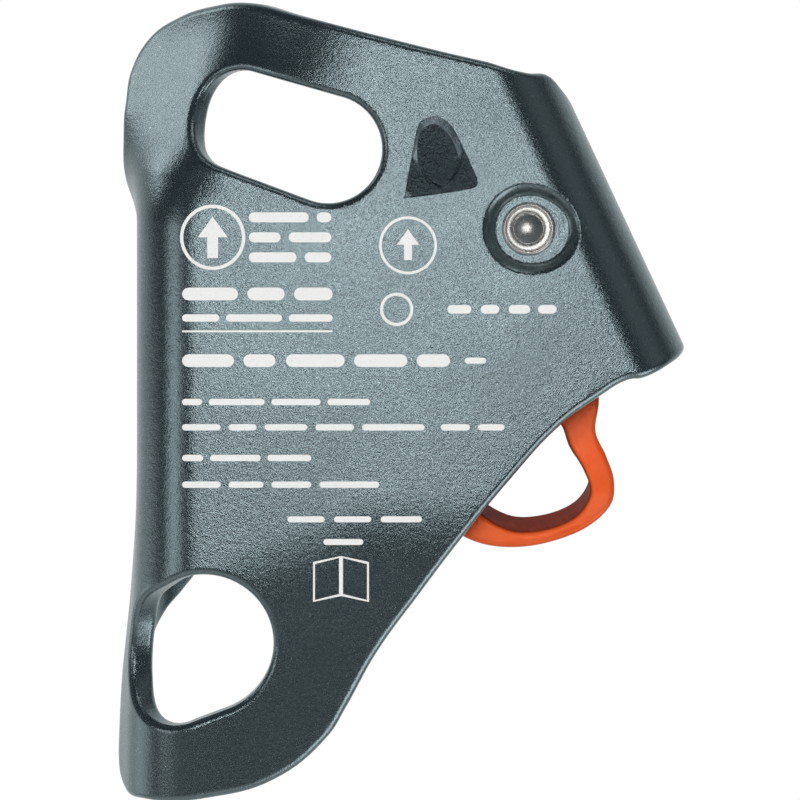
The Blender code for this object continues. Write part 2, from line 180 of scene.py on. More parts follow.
FRAME_OUTLINE = [
    (-16.6, 59.8), (-7.6, 57.7), (5.4, 54.4), (20, 50.9),
    fold_point(45.5, -33.4), fold_point(49.8, -31.8), fold_point(52.6, -28.6),
    fold_point(57, -25.4), fold_point(66, -22.6), fold_point(77, -20),
    fold_point(83.5, -17), fold_point(86, -11),
    fold_point(86, 6), fold_point(83.6, 12.4), fold_point(78, 14.4), fold_point(70, 15),
    fold_point(62, 14.6), fold_point(55, 14.5), fold_point(48, 15.3), fold_point(41.3, 15.5),
    (41.6, 3.0), (37.5, 0.6), (31.65, -3.7), (24.2, -11.7), (16.7, -20.9),
    (10.6, -29.1), (4, -38.3), (-0.7, -46.8), (-3.3, -51), (-11.6, -57.7),
    (-21.6, -60.4), (-32.4, -61.1), (-39.3, -60.6), (-42.9, -57), (-43.4, -50.5),
    (-44.5, -44), (-46.2, -39), (-50.5, -33.6), (-55.5, -28), (-57.6, -20),
    (-57.6, 16), (-55.7, 23), (-49.5, 28.6), (-43.6, 32.2), (-41, 37.4),
    (-40, 44.5), (-39.7, 50), (-36.9, 54.9), (-31, 58), (-23.9, 59.5),
]
STOP_WINDOW = [
    (13.1, 42.5), (10.9, 41.9), (10, 40.1), (8.4, 31.35), (8.8, 30.4), (18.3, 31.8),
    (19, 33.2), (18.6, 34.3), (15.5, 40.65),
]
STOP_PLATEAU = [
    (12.5, 41.8), (14.8, 40.2), (16.5, 36.5), (15.3, 33), (13.6, 31.8), (11.4, 33.5),
    (9.95, 35.6), (10.2, 40.1),
]
CAM_BACK = [
    (-19.6, -12.2), (-16.5, -12.4), (-13.5, -9.5), (-6, -1), (6, 8.5), (16, 12.5), (21, 10.5),
    (22.8, 5.5), (24.2, 1.4), (28, -0.2), (31.8, 1.4), (33.2, 5), (33.9, 14), (34.4, 25.7),
    (32.2, 31.1), (26.8, 33.2), (19.5, 31.9), (13.6, 30.9), (2, 27.6), (-10, 22), (-19.4, 15.9),
]
CAM_RELIEF = [
    (-15, -5.5), (-8.5, 1.5), (3, 11), (13, 16), (17.5, 20.5), (15.5, 26), (9, 26), (0, 22.6),
    (-9, 17.6), (-16, 12.2), (-17.5, 5),
]
TRIGGER_OUTLINE = [
    (37.5, 0.6), (37.0, -4.6), (38.6, -8.4), (39.8, -12.2), (39.1, -16.1), (34.65, -19.75),
    (27.2, -22.0), (19.95, -21.7), (14.6, -18.6), (12.4, -12.6), (14.2, -6.6), (19.4, -1.6),
    (22.6, 3.6), (24.2, 8.7), (28.2, 10.2), (32.2, 9.0), (35.4, 5.8),
]
TRIGGER_HOLE = [
    (31.8, -3.7), (33.1, -7.0), (35.2, -10.6), (36.1, -14.0), (34.0, -17.4), (29.4, -19.4),
    (24.0, -19.5), (19.0, -16.2), (17.4, -10.6), (19.4, -5.6), (24.6, -2.4), (29.2, -2.0),
]
TRIGGER_MIDDLE = (27.0, -10.5)

# Printed rows: middle height, bar height and the bars' left and right ends
PRINT_ROWS = [
    (27.4, 1.5, [(-15.2, -6.2), (-5.0, -2.8)]),
    (24.4, 1.5, [(-15.2, -10.4), (-9.2, -2.8)]),
    (21.4, 1.5, [(-15.2, -8.0), (-6.8, -2.8)]),
    (15.9, 1.9, [(-25.2, -16.8), (-15.4, -9.8), (-8.4, -2.6)]),
    (12.3, 1.1, [(-25.2, -19.6), (-18.6, -10.2), (-9.2, -2.6)]),
    (10.3, 0.28, [(-25.2, -2.6)]),
    (5.9, 1.9, [(-25.2, -17.4), (-16.0, -11.2), (-9.6, -0.8), (0.6, 8.6), (10.0, 15.0)]),
    (5.9, 0.9, [(17.2, 20.4)]),
    (-0.3, 0.95, [(-25.2, -22.2), (-21.2, -12.8), (-11.8, -4.4), (-3.4, 3.0)]),
    (-4.1, 0.95, [(-25.2, -19.4), (-18.2, -14.0), (-12.8, -6.4), (-5.2, 0.6), (1.8, 11.2),
                  (13.6, 18.0), (19.2, 23.2)]),
    (-8.7, 0.95, [(-25.2, -22.0), (-21.0, -13.4), (-12.4, -5.8)]),
    (-12.7, 0.95, [(-25.2, -19.4), (-18.2, -13.0), (-11.8, -5.8), (-4.6, 4.4)]),
    (-17.9, 0.9, [(-9.4, -3.8), (-2.4, 3.2), (4.6, 10.8)]),
    (-21.3, 0.9, [(-4.0, 2.0)]),
    (13.6, 1.3, [(14.6, 18.2), (19.6, 22.4), (23.8, 27.0), (28.2, 31.0)]),
]
PRINT_RINGS = [
    ((8.7, 23.2), 4.35, 3.95), ((7.0, 13.6), 2.5, 2.05), ((-20.6, 24.4), 4.9, 4.4),
]
PRINT_ARROWS = [((8.7, 23.3), 4.6), ((-20.6, 24.4), 6.2)]
PRINT_BOOKLET = ((-1.35, -30.3), 4.2, 6.0)
BOOKLET_LINE = 0.3
BOOKLET_SAG = 0.9
ARROW_HEAD = 0.36
ARROW_SHAFT = 0.13
INK_Y = (-0.035, -0.01)

# Meshes: points closer than this become one
WELD = 0.001

# Camera, in metres
CAMERA_PLACE = (0.0075, -1.5, 0.0)
CAMERA_LENS = 450


# Meshes


def add_spline(curve, points, smooth):
    spline = curve.splines.new("BEZIER" if smooth else "POLY")
    if smooth:
        spline.bezier_points.add(len(points) - 1)
        for knot, (x, z) in zip(spline.bezier_points, points):
            knot.co = (x, z, 0)
            knot.handle_left_type = knot.handle_right_type = "AUTO"
    else:
        spline.points.add(len(points) - 1)
        for knot, (x, z) in zip(spline.points, points):
            knot.co = (x, z, 0, 1)
    spline.use_cyclic_u = True


def sheet_mesh(name, smooth_loops, sharp_loops, y_range, rim, steps, rim_steps):
    """A plate between two Y planes whose outline and holes are closed curves, with round rims."""
    curve = bpy.data.curves.new(name, "CURVE")
    curve.dimensions = "2D"
    curve.fill_mode = "BOTH"
    curve.resolution_u = steps
    curve.bevel_depth = rim
    curve.bevel_resolution = rim_steps
    curve.offset = -rim
    curve.extrude = (y_range[1] - y_range[0]) / 2 - rim
    for points in smooth_loops:
        add_spline(curve, points, True)
    for points in sharp_loops:
        add_spline(curve, points, False)
    guide = bpy.data.objects.new(name, curve)
    bpy.context.scene.collection.objects.link(guide)
    bpy.context.view_layer.update()
    evaluated = guide.evaluated_get(bpy.context.evaluated_depsgraph_get())
    mesh = bpy.data.meshes.new_from_object(evaluated)
    bpy.data.objects.remove(guide)
    upright = Matrix.Rotation(math.pi / 2, 4, "X")
    mesh.transform(Matrix.Translation((0, sum(y_range) / 2, 0)) @ upright)
    weld(mesh)
    return mesh


def weld(mesh):
    bm = bmesh.new()
    bm.from_mesh(mesh)
    bmesh.ops.remove_doubles(bm, verts=bm.verts, dist=WELD)
    bmesh.ops.recalc_face_normals(bm, faces=bm.faces)
    bm.to_mesh(mesh)
    bm.free()


def piece(name, mesh, look, body, replaced=()):
    """Links a mesh in millimetres as a finished piece of the object."""
    mesh.transform(Matrix.Scale(MM, 4))
    mesh.materials.clear()
    mesh.materials.append(look)
    made = bpy.data.objects.new(name, mesh)
    bpy.context.scene.collection.objects.link(made)
    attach(made, body)
    if replaced:
        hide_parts(*replaced)
    return made


def smooth_shade(obj, angle):
    """Smooth shading with sharp edges kept, and flat faces kept flat."""
    obj.data.shade_smooth()
    obj.data.set_sharp_from_angle(angle=math.radians(angle))
    weighted = obj.modifiers.new("weighted", "WEIGHTED_NORMAL")
    weighted.keep_sharp = True
    weighted.weight = 60


# Bending the plate


def smooth_step(value):
    value = np.clip(value, 0, 1)
    return value * value * (3 - 2 * value)


def blend(value, ends):
    return smooth_step((value - ends[0]) / (ends[1] - ends[0]))


def fold_angle(distance):
    """Angle of a U fold so far past its start: a quarter bend, a flat and a second quarter."""
    knots = np.cumsum([0, BEND_LENGTH, FOLD_FLAT, BEND_LENGTH])
    return np.interp(distance, knots, [0, math.pi / 2, math.pi / 2, math.pi])


def left_angle(distance, z):
    channel = fold_angle(distance - CHANNEL_START)
    opened = blend(z, OPEN_BLEND)
    lowered = blend(z, LOW_BLEND)
    edge = opened * blend(distance, EDGE_BEND)
    top = blend(z, TOP_BLEND) * blend(distance, (0, TOP_LENGTH))
    tilt = TOP_ANGLE * (1 - (1 - edge) * (1 - top))
    return channel * (1 - opened - lowered + LOW_SHARE * lowered) + tilt


def right_angle(distance, z):
    return fold_angle(distance)


def tip_angle(distance, z):
    return TIP_ANGLE * np.clip(distance / TIP_LENGTH, 0, 1)


def rolled(distance, z, depth, angle):
    """Run and rise of points on a sheet that bends by angle(distance, z), depth below its face."""
    shares = (np.arange(BEND_PARTS) + 0.5) / BEND_PARTS
    stations = angle(distance[:, None] * shares, z[:, None])
    end = angle(distance, z)
    run = distance * np.cos(stations).mean(axis=1) - depth * np.sin(end)
    rise = distance * np.sin(stations).mean(axis=1) + depth * np.cos(end)
    return run, rise


def bend_plate(mesh):
    points = np.empty(len(mesh.vertices) * 3)
    mesh.vertices.foreach_get("co", points)
    points = points.reshape(-1, 3)
    x, y, z = points.T.copy()
    left = x < LEFT_START
    run, rise = rolled(LEFT_START - x[left], z[left], y[left], left_angle)
    points[left, 0] = LEFT_START - run
    points[left, 1] = rise
    across = x * ACROSS[0] + z * ACROSS[1]
    right = (across > CLEVIS_START) & ~left
    run, rise = rolled(across[right] - CLEVIS_START, z[right], y[right], right_angle)
    moved = CLEVIS_START + run - across[right]
    points[right, 0] += moved * ACROSS[0]
    points[right, 2] += moved * ACROSS[1]
    points[right, 1] = rise
    start = TIP_START - TIP_SLANT * np.clip(TIP_KNEE - points[:, 0], 0, None)
    low = z < start
    run, rise = rolled(start[low] - z[low], z[low], points[low, 1], tip_angle)
    points[low, 1] = rise
    points[low, 2] = start[low] - run
    mesh.vertices.foreach_set("co", points.ravel())
    mesh.update()


def everything(bm):
    return bm.verts[:] + bm.edges[:] + bm.faces[:]


def around(faces):
    """The faces with their edges and corners."""
    geometry = set(faces)
    for face in faces:
        geometry.update(face.edges)
        geometry.update(face.verts)
    return list(geometry)


def cut(bm, geometry, point, normal):
    """Splits the geometry along a plane and returns what it has become."""
    result = bmesh.ops.bisect_plane(
        bm, geom=geometry, dist=WELD, plane_co=point, plane_no=normal
    )
    return result["geom"]


def lines(start, end, step):
    return np.linspace(start, end, max(2, round(abs(end - start) / step) + 1))


def slice_plate(mesh):
    """Cuts the flat plate's faces along the lines where it bends, then into triangles."""
    bm = bmesh.new()
    bm.from_mesh(mesh)
    fold_length = 2 * BEND_LENGTH + FOLD_FLAT
    gentle = lines(0, EDGE_BEND[0], GENTLE_STEP)[:-1]
    edge = lines(EDGE_BEND[0], CHANNEL_START, BEND_STEP)[:-1]
    for value in [*gentle, *edge]:
        cut(bm, everything(bm), (LEFT_START - value, 0, 0), (1, 0, 0))
    for value in lines(0, fold_length, BEND_STEP):
        left = LEFT_START - CHANNEL_START - value
        cut(bm, everything(bm), (left, 0, 0), (1, 0, 0))
        point = [(CLEVIS_START + value) * part for part in ACROSS]
        cut(bm, everything(bm), (point[0], 0, point[1]), (ACROSS[0], 0, ACROSS[1]))
    for value in lines(0, TIP_REACH, TIP_STEP):
        cut(bm, everything(bm), (0, 0, TIP_START - value), (0, 0, 1))
    refine_blends(bm)
    refine_pocket(bm)
    bmesh.ops.triangulate(bm, faces=bm.faces)
    bm.to_mesh(mesh)
    bm.free()


def refine_blends(bm):
    """Cuts across the left fold, closer together where its angle changes along Z."""

    def on_left(face):
        return max(vert.co.x for vert in face.verts) < LEFT_START + 0.01

    geometry = around([face for face in bm.faces if on_left(face)])
    spans = [
        ((OPEN_BLEND[0], 59), 1), (LOW_BLEND, 2), ((LOW_BLEND[0], OPEN_BLEND[0]), 5),
    ]
    for (start, end), coarseness in spans:
        for value in lines(start, end, BLEND_STEP * coarseness):
            geometry = cut(bm, geometry, (0, 0, value), (0, 0, 1))


def refine_pocket(bm):
    """A fine grid over the rivet pocket on the back face."""
    reach = POCKET_REACH + POCKET_BULGE + POCKET_MARGIN
    on_back = [face for face in bm.faces if max(vert.co.y for vert in face.verts) < 0.01]
    geometry = around(on_back)
    for side in (-reach, reach):
        geometry = cut(bm, geometry, (PIVOT[0] + side, 0, 0), (1, 0, 0))
        geometry = cut(bm, geometry, (0, 0, PIVOT[1] + side), (0, 0, 1))

    def near(face):
        middle = face.calc_center_median()
        return abs(middle.x - PIVOT[0]) < reach and abs(middle.z - PIVOT[1]) < reach

    faces = [item for item in geometry if isinstance(item, bmesh.types.BMFace)]
    geometry = around([face for face in faces if near(face)])
    for value in lines(-reach, reach, POCKET_GRID)[1:-1]:
        geometry = cut(bm, geometry, (PIVOT[0] + value, 0, 0), (1, 0, 0))
        geometry = cut(bm, geometry, (0, 0, PIVOT[1] + value), (0, 0, 1))


def sink_pocket(mesh):
    """Presses the egg-shaped pocket of the rivet into the back face."""
    points = np.empty(len(mesh.vertices) * 3)
    mesh.vertices.foreach_get("co", points)
    points = points.reshape(-1, 3)
    x, z = points[:, 0] - PIVOT[0], points[:, 2] - PIVOT[1]
    radius = np.hypot(x, z)
    towards = np.arctan2(z, x) - POCKET_TURN
    edge = POCKET_REACH + POCKET_BULGE * np.clip(np.cos(towards), 0, 1) ** 2
    depth = POCKET_DEPTH * smooth_step((edge - radius) / POCKET_WALL)
    face = points[:, 1] < BACK_LAYER
    points[face, 1] += depth[face]
    mesh.vertices.foreach_set("co", points.ravel())
    mesh.update()


def loft_mesh(name, lower, upper, y_range, slopes=(0, 0)):
    """A solid between two outlines with as many points, whose ends can slope downwards."""
    bm = bmesh.new()
    rings = []
    for points, y, slope in zip((lower, upper), y_range, slopes):
        top = max(z for x, z in points)
        rings.append([bm.verts.new((x, y + slope * (top - z), z)) for x, z in points])
    bm.faces.new(rings[0])
    bm.faces.new(rings[1][::-1])
    count = len(lower)
    for i in range(count):
        j = (i + 1) % count
        bm.faces.new((rings[0][j], rings[0][i], rings[1][i], rings[1][j]))
    bmesh.ops.recalc_face_normals(bm, faces=bm.faces)
    mesh = bpy.data.meshes.new(name)
    bm.to_mesh(mesh)
    bm.free()
    return mesh


def rounded(points, steps=6, tension=0.5):
    """A closed loop through the points, with smooth stretches between them."""
    knots = [np.array(point) for point in points]
    loop = []
    for i in range(len(knots)):
        before, start, end, after = (knots[(i + k) % len(knots)] for k in (-1, 0, 1, 2))
        for t in np.arange(steps) / steps:
            leave, arrive = (end - before) * tension, (after - start) * tension
            spot = (2 * t**3 - 3 * t**2 + 1) * start + (t**3 - 2 * t**2 + t) * leave
            spot = spot + (3 * t**2 - 2 * t**3) * end + (t**3 - t**2) * arrive
            loop.append(tuple(spot))
    return loop


def scaled(points, factor):
    middle = np.mean(points, axis=0)
    return [tuple(middle + (np.array(point) - middle) * factor) for point in points]


def cylinder_mesh(name, center, radius, y_range, sides):
    bm = bmesh.new()
    length = y_range[1] - y_range[0]
    upright = Matrix.Rotation(-math.pi / 2, 4, "X")
    middle = Matrix.Translation((center[0], sum(y_range) / 2, center[1]))
    bmesh.ops.create_cone(
        bm, cap_ends=True, segments=sides, radius1=radius, radius2=radius, depth=length,
        matrix=middle @ upright,
    )
    mesh = bpy.data.meshes.new(name)
    bm.to_mesh(mesh)
    bm.free()
    return mesh


def apply_booleans(mesh, steps):
    """The mesh after a chain of (operation, other mesh) Booleans, all in the same unit."""
    scene = bpy.context.scene.collection
    obj = bpy.data.objects.new("work", mesh)
    scene.objects.link(obj)
    others = []
    for operation, other in steps:
        tool = bpy.data.objects.new("tool", other)
        scene.objects.link(tool)
        modifier = obj.modifiers.new("cut", "BOOLEAN")
        modifier.operation = operation
        modifier.solver = "EXACT"
        modifier.object = tool
        others.append(tool)
    bpy.context.view_layer.update()
    evaluated = obj.evaluated_get(bpy.context.evaluated_depsgraph_get())
    result = bpy.data.meshes.new_from_object(evaluated)
    for used in [obj] + others:
        bpy.data.objects.remove(used)
    return result


def stop_meshes():
    """The moat to cut into the back face, round the stop, and the boss to add behind it."""
    window = rounded(STOP_WINDOW, 5, 0.35)
    plateau = rounded(STOP_PLATEAU, 6, 0.5)
    mouth, floor = (scaled(window, share) for share in MOAT_SHARES)
    moat = loft_mesh("moat", mouth, floor, (-1, MOAT_DEPTH), (0, -MOAT_SLOPE))
    top, brow = (scaled(plateau, share) for share in BROW_SHARES)
    foot = scaled(plateau, FOOT_SHARE)
    chamfer = loft_mesh("chamfer", top, brow, (STOP_TOP, STOP_BROW), (STOP_SLOPE, STOP_SLOPE))
    island = loft_mesh("island", brow, foot, (STOP_BROW, STOP_FOOT), (STOP_SLOPE, 0))
    moat = apply_booleans(moat, [("DIFFERENCE", chamfer), ("DIFFERENCE", island)])
    boss = loft_mesh("boss", plateau, scaled(plateau, BOSS_SHARE), (STOP_FOOT, BOSS_END))
    return moat, boss


def make_frame(look):
    holes = [stadium(*UPPER_SLOT, 33), stadium(*LOWER_EYE, 37)]
    size = (0, THICKNESS)
    mesh = sheet_mesh("plate", [FRAME_OUTLINE], holes, size, RIM, 8, RIM_STEPS)
    slice_plate(mesh)
    bend_plate(mesh)
    sink_pocket(mesh)
    moat, boss = stop_meshes()
    bore = cylinder_mesh("bore", PIVOT, RIVET_RADIUS + GAP, (-2, DEPTH + 2), 64)
    steps = [("DIFFERENCE", bore), ("DIFFERENCE", moat), ("UNION", boss)]
    mesh = apply_booleans(mesh, steps)
    made = piece("frame_plate", mesh, look, "frame", ["frame"])
    smooth_shade(made, 38)


# The other pieces


def turned(name, profile, center, closed, look, body, sides=96):
    """A piece turned about an axis along Y: (radius, Y) pairs, down the outer side from high Y."""
    mesh = bpy.data.meshes.new(name)
    edges = [(i, i + 1) for i in range(len(profile) - 1)]
    if closed:
        edges.append((len(profile) - 1, 0))
    mesh.from_pydata([(radius, 0, y) for radius, y in profile], edges, [])
    guide = bpy.data.objects.new(name, mesh)
    bpy.context.scene.collection.objects.link(guide)
    screw = guide.modifiers.new("turn", "SCREW")
    screw.steps = screw.render_steps = sides
    screw.use_merge_vertices = True
    screw.merge_threshold = 0.0001
    bpy.context.view_layer.update()
    evaluated = guide.evaluated_get(bpy.context.evaluated_depsgraph_get())
    solid = bpy.data.meshes.new_from_object(evaluated)
    bpy.data.objects.remove(guide)
    upright = Matrix.Rotation(-math.pi / 2, 4, "X")
    solid.transform(Matrix.Translation((center[0], 0, center[1])) @ upright)
    made = piece(name + "_fine", solid, look, body, [name])
    smooth_shade(made, 30)


def ring(name, radii, y_range, center, look, body):
    """A washer or bush with broken edges."""
    (inner, outer), (low, high) = radii, y_range
    edge = 0.15
    profile = [
        (inner + edge, high), (outer - edge, high), (outer, high - edge), (outer, low + edge),
        (outer - edge, low), (inner + edge, low), (inner, low + edge), (inner, high - edge),
    ]
    turned(name, profile, center, True, look, body)


def wire(name, points, radius, look, body):
    """A round wire along a list of points in millimetres."""
    curve = bpy.data.curves.new(name, "CURVE")
    curve.dimensions = "3D"
    curve.bevel_depth = radius
    curve.bevel_resolution = 4
    curve.use_fill_caps = True
    spline = curve.splines.new("POLY")
    spline.points.add(len(points) - 1)
    for knot, point in zip(spline.points, points):
        knot.co = (*point, 1)
    guide = bpy.data.objects.new(name, curve)
    bpy.context.scene.collection.objects.link(guide)
    bpy.context.view_layer.update()
    evaluated = guide.evaluated_get(bpy.context.evaluated_depsgraph_get())
    mesh = bpy.data.meshes.new_from_object(evaluated)
    bpy.data.objects.remove(guide)
    weld(mesh)
    made = piece(name + "_fine", mesh, look, body, [name])
    smooth_shade(made, 50)


def coil(center, radius, y_range, turns, start, per_turn=48):
    """Points of a coil about an axis along Y, from a start angle in degrees."""
    points = []
    steps = round(turns * per_turn)
    for i in range(steps + 1):
        angle = math.radians(start) + 2 * math.pi * i / per_turn
        y = y_range[0] + (y_range[1] - y_range[0]) * i / steps
        x, z = center[0] + radius * math.cos(angle), center[1] + radius * math.sin(angle)
        points.append((x, y, z))
    return points


def cam_face_point(angle, lift=0.0):
    """A point of the cam's spiral face, so far below the level of the pivot, lifted outwards."""
    radius = SPIRAL_RADIUS * math.exp(SPIRAL * (angle - SPIRAL_ANGLE)) + lift
    return (PIVOT[0] - radius * math.cos(angle), PIVOT[1] - radius * math.sin(angle))


def cam_mesh():
    face = [cam_face_point(angle) for angle in np.linspace(*CAM_FACE, 8)]
    hub_hole = arc(PIVOT, BUSH_RADII[1] + GAP, 0, 357, 120)
    pin_hole = arc(PIN, PIN_RADIUS + GAP, 0, 352.5, 48)
    loops = [hub_hole, pin_hole]
    mesh = sheet_mesh("cam_body", [face + CAM_BACK], loops, CAM_Y, CAM_RIM, 12, 3)
    relief = rounded(CAM_RELIEF, 6, 0.5)
    wide, narrow = (scaled(relief, share) for share in CAM_RELIEF_SHARES)
    low, high = CAM_Y
    back_relief = loft_mesh("relief", wide, narrow, (low - 1, low + CAM_RELIEF_DEPTH))
    front_relief = loft_mesh("relief", narrow, wide, (high - CAM_RELIEF_DEPTH, high + 1))
    clear = cylinder_mesh("clear", PIVOT, SPRING_CLEAR, (SPRING_Y, high + 1), 96)
    fork = cylinder_mesh("fork", PIN, FORK_CLEAR, (low + FORK, high - FORK), 96)
    tools = (back_relief, front_relief, clear, fork)
    return apply_booleans(mesh, [("DIFFERENCE", tool) for tool in tools])


def add_teeth(mesh):
    """Staggered rows of pointed teeth on the cam's face."""
    bm = bmesh.new()
    bm.from_mesh(mesh)
    middle = sum(CAM_Y) / 2
    first, last = CAM_FACE[0] + TOOTH_MARGINS[0], CAM_FACE[1] - TOOTH_MARGINS[1]
    outwards = Matrix.Rotation(math.pi, 4, "Y") @ Matrix.Translation((0, 0, TOOTH_HEIGHT / 2))
    for row, angle in enumerate(np.linspace(first, last, TOOTH_ROWS)):
        foot = cam_face_point(angle, -TOOTH_SINK)
        lean = Matrix.Rotation(math.pi / 2 + angle * TOOTH_LEAN, 4, "Y")
        for share in ((-1, 0, 1) if row % 2 else (-0.5, 0.5)):
            spot = Matrix.Translation((foot[0], middle + share * TOOTH_SPACING, foot[1]))
            bmesh.ops.create_cone(
                bm, cap_ends=True, segments=20, radius1=TOOTH_RADII[0], radius2=TOOTH_RADII[1],
                depth=TOOTH_HEIGHT, matrix=spot @ lean @ outwards,
            )
    bm.to_mesh(mesh)
    bm.free()


def make_cam(look):
    mesh = cam_mesh()
    add_teeth(mesh)
    made = piece("cam_forging", mesh, look, "cam", ["cam"])
    smooth_shade(made, 35)


def make_rivet(look):
    """The axle: a domed head on the cam side and a turned face with a bright ring on the back."""
    front = DEPTH + GAP
    shank = POCKET_DEPTH - GAP
    profile = [
        (0, front + 1.2), (1.4, front + 1.17), (2.6, front + 1.02), (3.6, front + 0.7),
        (4.2, front + 0.3), (4.4, front), (RIVET_RADIUS, front), (RIVET_RADIUS, shank),
        (RIVET_HEAD - 0.1, shank), (RIVET_HEAD, shank - 0.1), (RIVET_HEAD, 0.55), (3.97, 0.36),
        (3.88, 0.2), (3.74, 0.1), (3.58, 0.07), (3.44, 0.1), (3.34, 0.2), (3.3, 0.24), (3.24, 0.18),
        (3.2, 0.16), (3.14, 0.16), (2.62, 0.16), (2.56, 0.17), (2.52, 0.24), (2.48, 0.7),
        (2.44, 1.0), (2.4, 1.03), (2.34, 1.0), (2.26, 0.98), (1.2, 0.84), (0, 0.69),
    ]
    turned("cam_rivet", profile, PIVOT, False, look, "frame", 128)


def make_axle_pieces(steel, bronze):
    for name, start in (("back_washer", THICKNESS + GAP), ("front_washer", CAM_Y[1] + GAP)):
        size = (start, start + WASHER)
        ring(name, WASHER_RADII, size, PIVOT, steel, "frame")
    ring("cam_bush", BUSH_RADII, CAM_Y, PIVOT, bronze, "cam")
    span = (SPRING_Y + GAP + CAM_SPRING_WIRE, CAM_Y[1] - CAM_SPRING_WIRE)
    points = coil(PIVOT, CAM_SPRING_RADIUS, span, CAM_SPRING_TURNS, CAM_SPRING_START)
    start = math.radians(CAM_SPRING_START)
    hook = Vector((math.cos(start), 0, math.sin(start))) * CAM_SPRING_HOOK
    leg = Vector((ACROSS[0], 0, ACROSS[1])) * CAM_SPRING_LEG
    points = [tuple(Vector(points[0]) + hook)] + points + [tuple(Vector(points[-1]) + leg)]
    wire("cam_spring", points, CAM_SPRING_WIRE, steel, "frame")


def make_trigger_pin(steel):
    low, high = CAM_Y[0] - GAP, CAM_Y[1] + GAP
    head = PIN_HEAD
    profile = [
        (0, high + 0.5), (head - 0.9, high + 0.47), (head - 0.3, high + 0.3), (head, high),
        (PIN_RADIUS, high), (PIN_RADIUS, low), (head, low), (head - 0.3, low - 0.3),
        (head - 0.9, low - 0.47), (0, low - 0.5),
    ]
    turned("trigger_pin", profile, PIN, False, steel, "cam", 64)
    floor = TRIGGER_Y[1] - TRIGGER_POCKET[1]
    span = (floor + GAP + TRIGGER_SPRING_WIRE, TRIGGER_Y[1] - TRIGGER_SPRING_WIRE)
    points = coil(PIN, TRIGGER_SPRING_RADIUS, span, TRIGGER_SPRING_TURNS, TRIGGER_SPRING_START)
    wire("trigger_spring", points, TRIGGER_SPRING_WIRE, steel, "trigger")


# The trigger is a ring of rounded sections that follow two loops


def resample(points, count, middle):
    """Points of a closed loop at even angles about a middle point, clockwise from the left."""
    loop = np.array(rounded(points, 24, 0.5))
    angles = np.arctan2(loop[:, 1] - middle[1], loop[:, 0] - middle[0])
    order = np.argsort(angles)
    angles, loop = angles[order], loop[order]
    targets = np.linspace(-math.pi, math.pi, count, endpoint=False)
    columns = [np.interp(targets, angles, loop[:, k], period=2 * math.pi) for k in (0, 1)]
    return np.stack(columns, axis=1)


def section(corner, width, depth, steps=5):
    """A rounded rectangle: (share across, depth) pairs from 0 at the hole to 1 outside."""
    points = []
    turns = ((1, 0, 0), (1, 1, 1), (0, 1, 2), (0, 0, 3))
    for right, far, quarter in turns:
        middle_across = width - corner if right else corner
        middle_depth = depth - corner if far else corner
        for k in range(steps + 1):
            angle = math.pi / 2 * (quarter - 1 + k / steps)
            across = middle_across + corner * math.cos(angle)
            points.append((across / width, middle_depth + corner * math.sin(angle)))
    return points


def trigger_mesh():
    count = TRIGGER_SECTIONS
    outer = resample(TRIGGER_OUTLINE, count, TRIGGER_MIDDLE)
    inner = resample(TRIGGER_HOLE, count, TRIGGER_MIDDLE)
    depth = TRIGGER_Y[1] - TRIGGER_Y[0]
    bm = bmesh.new()
    rings = []
    for start, end in zip(inner, outer):
        width = float(np.hypot(*(end - start)))
        shares = TRIGGER_RIM_SHARES
        corner = min(TRIGGER_RIM, width * shares[0], depth * shares[1])
        low, high = blend(start[1], DRAFT_BLEND), blend(start[1], DIP_BLEND)
        ring_verts = []
        for across, level in section(corner, width, depth):
            far = level / depth
            spot = start + (end - start) * across
            draft = TRIGGER_DRAFT * (1 - across) ** 2 * smooth_step(far)
            dip = TRIGGER_DIP * (1 - far) * high
            y = TRIGGER_Y[0] + level + dip
            ring_verts.append(bm.verts.new((spot[0], y, spot[1] + draft * low)))
        rings.append(ring_verts)
    for i in range(count):
        ring_a, ring_b = rings[i], rings[(i + 1) % count]
        for k in range(len(ring_a)):
            m = (k + 1) % len(ring_a)
            bm.faces.new((ring_a[k], ring_a[m], ring_b[m], ring_b[k]))
    bmesh.ops.recalc_face_normals(bm, faces=bm.faces)
    mesh = bpy.data.meshes.new("trigger_body")
    bm.to_mesh(mesh)
    bm.free()
    return mesh


def make_trigger(look):
    mesh = trigger_mesh()
    hole = cylinder_mesh("hole", PIN, PIN_RADIUS + GAP, (0, DEPTH), 48)
    radius, depth = TRIGGER_POCKET
    pocket = cylinder_mesh("pocket", PIN, radius, (TRIGGER_Y[1] - depth, DEPTH), 64)
    mesh = apply_booleans(mesh, [("DIFFERENCE", hole), ("DIFFERENCE", pocket)])
    made = piece("finger_ring", mesh, look, "trigger", ["trigger"])
    smooth_shade(made, 40)


# Printed marks on the back, all plain shapes


def bar(left, right, middle, height):
    """A bar with round ends, as one closed loop."""
    radius = height / 2
    right_end = arc((right - radius, middle), radius, -90, 90, 7)
    return right_end + arc((left + radius, middle), radius, 90, 270, 7)


def circle(center, radius):
    return arc(center, radius, 0, 352.5, 48)


def arrow(center, size):
    """An arrow that points up, so high in all."""
    x, z = center
    head, shaft = size * ARROW_HEAD, size * ARROW_SHAFT
    top, neck, foot = z + size / 2, z, z - size / 2
    return [
        (x, top), (x - head, neck), (x - shaft, neck), (x - shaft, foot),
        (x + shaft, foot), (x + shaft, neck), (x + head, neck),
    ]


def page(left, right, low, high, sag):
    """A page of an open booklet, lower at its outer edge than at its spine."""
    return [(left, low), (right, low + sag), (right, high + sag), (left, high)]


